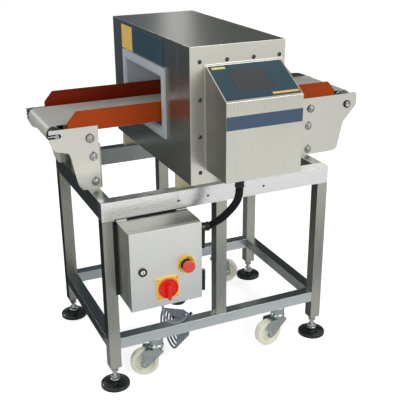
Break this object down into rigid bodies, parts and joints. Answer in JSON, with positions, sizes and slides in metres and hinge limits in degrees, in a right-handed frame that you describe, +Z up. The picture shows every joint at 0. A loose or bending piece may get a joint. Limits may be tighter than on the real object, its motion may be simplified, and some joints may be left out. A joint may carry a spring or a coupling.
{
  "type": "conveyor metal detector",
  "caption": "Boxed detector head with a wide product tunnel, belt conveyor through it, sloping operator console and control box on a castored tube stand.",
  "frame": {"origin": "on the floor, under the middle of the machine's box measured without the loose power cord", "axes": "+X along the belt from tail to drive end, +Y from the operator's side to the back, +Z up"},
  "size_m": [1.155, 0.84, 1.161],
  "materials": {
    "frame_steel": "satin brushed tube",
    "sheet_steel": "satin brushed sheet",
    "block_plastic": "moulded cream",
    "zinc_steel": "bright zinc plated",
    "black_plastic": "matt black",
    "wheel_plastic": "moulded cream nylon",
    "liner_plastic": "machined grey",
    "coil_copper": "wound copper band",
    "panel_film": "printed film",
    "chassis_zinc": "galvanised plate and cased devices",
    "switch_amber": "moulded",
    "signal_yellow": "moulded",
    "signal_red": "moulded",
    "belt_pu": "coated conveyor belt",
    "roller_steel": "turned",
    "guide_brown": "phenolic board",
    "cord_grey": "grey PVC sheath"
  },
  "bodies": {
    "machine": {"leg_front_left": "frame_steel", "leg_front_right": "frame_steel", "leg_rear_left": "frame_steel", "leg_rear_right": "frame_steel", "middle_legs": "frame_steel", "top_rail_front": "frame_steel", "top_rail_rear": "frame_steel", "top_side_rails": "frame_steel", "bottom_long_rails": "frame_steel", "bottom_side_rails": "frame_steel", "head_blocks": "block_plastic", "castor_stems": "zinc_steel", "head_shell": "sheet_steel", "head_front_cover": "sheet_steel", "tunnel_liner": "liner_plastic", "tunnel_frames": "liner_plastic", "search_coils": "coil_copper", "console_housing": "sheet_steel", "console_panel": "panel_film", "conduit": "black_plastic", "cable_glands": "black_plastic", "box_body": "sheet_steel", "box_chassis": "chassis_zinc", "box_hinges": "black_plastic", "buzzer": "black_plastic", "slider_bed": "sheet_steel", "belt": "belt_pu", "roller_shafts": "roller_steel", "side_plates": "sheet_steel", "side_guides": "guide_brown", "conveyor_stands": "sheet_steel", "power_cord": "cord_grey", "cord_coil": "cord_grey", "cord_plug": "black_plastic"},
    "foot_front_left": {"foot_stem_front_left": "zinc_steel", "foot_pad_front_left": "black_plastic"},
    "foot_front_right": {"foot_stem_front_right": "zinc_steel", "foot_pad_front_right": "black_plastic"},
    "foot_rear_left": {"foot_stem_rear_left": "zinc_steel", "foot_pad_rear_left": "black_plastic"},
    "foot_rear_right": {"foot_stem_rear_right": "zinc_steel", "foot_pad_rear_right": "black_plastic"},
    "castor_front_left": {"castor_fork_front_left": "zinc_steel"},
    "wheel_front_left": {"castor_wheel_front_left": "wheel_plastic"},
    "castor_front_right": {"castor_fork_front_right": "zinc_steel"},
    "wheel_front_right": {"castor_wheel_front_right": "wheel_plastic"},
    "castor_rear_left": {"castor_fork_rear_left": "zinc_steel"},
    "wheel_rear_left": {"castor_wheel_rear_left": "wheel_plastic"},
    "castor_rear_right": {"castor_fork_rear_right": "zinc_steel"},
    "wheel_rear_right": {"castor_wheel_rear_right": "wheel_plastic"},
    "drive_drum": {"drive_drum": "roller_steel"},
    "tail_roller": {"tail_roller": "roller_steel"},
    "return_roller_tail": {"return_roller_tail": "roller_steel"},
    "return_roller_drive": {"return_roller_drive": "roller_steel"},
    "door": {"box_door": "sheet_steel", "switch_plate": "switch_amber", "estop_collar": "signal_yellow"},
    "lock": {"cam_lock": "black_plastic"},
    "handle": {"switch_handle": "signal_red"},
    "stop_button": {"estop_button": "signal_red"}
  },
  "joints": [
    {"name": "foot_screw_front_left", "type": "slide", "parent": "machine", "child": "foot_front_left", "axis": [0, 0, -1], "range_m": [0, 0.025]},
    {"name": "foot_screw_front_right", "type": "slide", "parent": "machine", "child": "foot_front_right", "axis": [0, 0, -1], "range_m": [0, 0.025]},
    {"name": "foot_screw_rear_left", "type": "slide", "parent": "machine", "child": "foot_rear_left", "axis": [0, 0, -1], "range_m": [0, 0.025]},
    {"name": "foot_screw_rear_right", "type": "slide", "parent": "machine", "child": "foot_rear_right", "axis": [0, 0, -1], "range_m": [0, 0.025]},
    {"name": "castor_swivel_front_left", "type": "hinge", "parent": "machine", "child": "castor_front_left", "pos_m": [-0.2885, -0.169, 0.11], "axis": [0, 0, 1], "continuous": true},
    {"name": "castor_roll_front_left", "type": "hinge", "parent": "castor_front_left", "child": "wheel_front_left", "pos_m": [-0.32703, -0.15498, 0.054], "axis": [-0.342, -0.9397, 0], "continuous": true},
    {"name": "castor_swivel_front_right", "type": "hinge", "parent": "machine", "child": "castor_front_right", "pos_m": [0.1975, -0.169, 0.11], "axis": [0, 0, 1], "continuous": true},
    {"name": "castor_roll_front_right", "type": "hinge", "parent": "castor_front_right", "child": "wheel_front_right", "pos_m": [0.15656, -0.17115, 0.054], "axis": [0.0523, -0.9986, 0], "continuous": true},
    {"name": "castor_swivel_rear_left", "type": "hinge", "parent": "machine", "child": "castor_rear_left", "pos_m": [-0.2885, 0.353, 0.11], "axis": [0, 0, 1], "continuous": true},
    {"name": "castor_roll_rear_left", "type": "hinge", "parent": "castor_rear_left", "child": "wheel_rear_left", "pos_m": [-0.29842, 0.31322, 0.054], "axis": [0.9703, -0.2419, 0], "continuous": true},
    {"name": "castor_swivel_rear_right", "type": "hinge", "parent": "machine", "child": "castor_rear_right", "pos_m": [0.1975, 0.353, 0.11], "axis": [0, 0, 1], "continuous": true},
    {"name": "castor_roll_rear_right", "type": "hinge", "parent": "castor_rear_right", "child": "wheel_rear_right", "pos_m": [0.23788, 0.34588, 0.054], "axis": [0.1736, 0.9848, 0], "continuous": true},
    {"name": "drive_drum_turn", "type": "hinge", "parent": "machine", "child": "drive_drum", "pos_m": [0.5315, 0.104, 0.856], "axis": [0, 1, 0], "continuous": true},
    {"name": "tail_roller_turn", "type": "hinge", "parent": "machine", "child": "tail_roller", "pos_m": [-0.5505, 0.104, 0.875], "axis": [0, 1, 0], "continuous": true},
    {"name": "return_roller_tail_turn", "type": "hinge", "parent": "machine", "child": "return_roller_tail", "pos_m": [-0.4445, 0.104, 0.856], "axis": [0, 1, 0], "continuous": true},
    {"name": "return_roller_drive_turn", "type": "hinge", "parent": "machine", "child": "return_roller_drive", "pos_m": [0.3771, 0.104, 0.856], "axis": [0, 1, 0], "continuous": true},
    {"name": "box_door_hinge", "type": "hinge", "parent": "machine", "child": "door", "pos_m": [-0.1685, -0.306, 0.486], "axis": [0, 0, 1], "range_deg": [0, 105]},
    {"name": "cam_lock_turn", "type": "hinge", "parent": "door", "child": "lock", "pos_m": [-0.3781, -0.312, 0.486], "axis": [0, 1, 0], "range_deg": [0, 90]},
    {"name": "switch_turn", "type": "hinge", "parent": "door", "child": "handle", "pos_m": [-0.2971, -0.312, 0.416], "axis": [0, 1, 0], "range_deg": [0, 90]},
    {"name": "stop_press", "type": "slide", "parent": "door", "child": "stop_button", "axis": [0, 1, 0], "range_m": [0, 0.005], "stiffness_N_per_m": 1500, "springref_m": -0.004}
  ],
  "couplings": [
    {"joint": "tail_roller_turn", "follows": "drive_drum_turn", "ratio": 1.76},
    {"joint": "return_roller_tail_turn", "follows": "drive_drum_turn", "ratio": -2.9333},
    {"joint": "return_roller_drive_turn", "follows": "drive_drum_turn", "ratio": -2.9333}
  ]
}
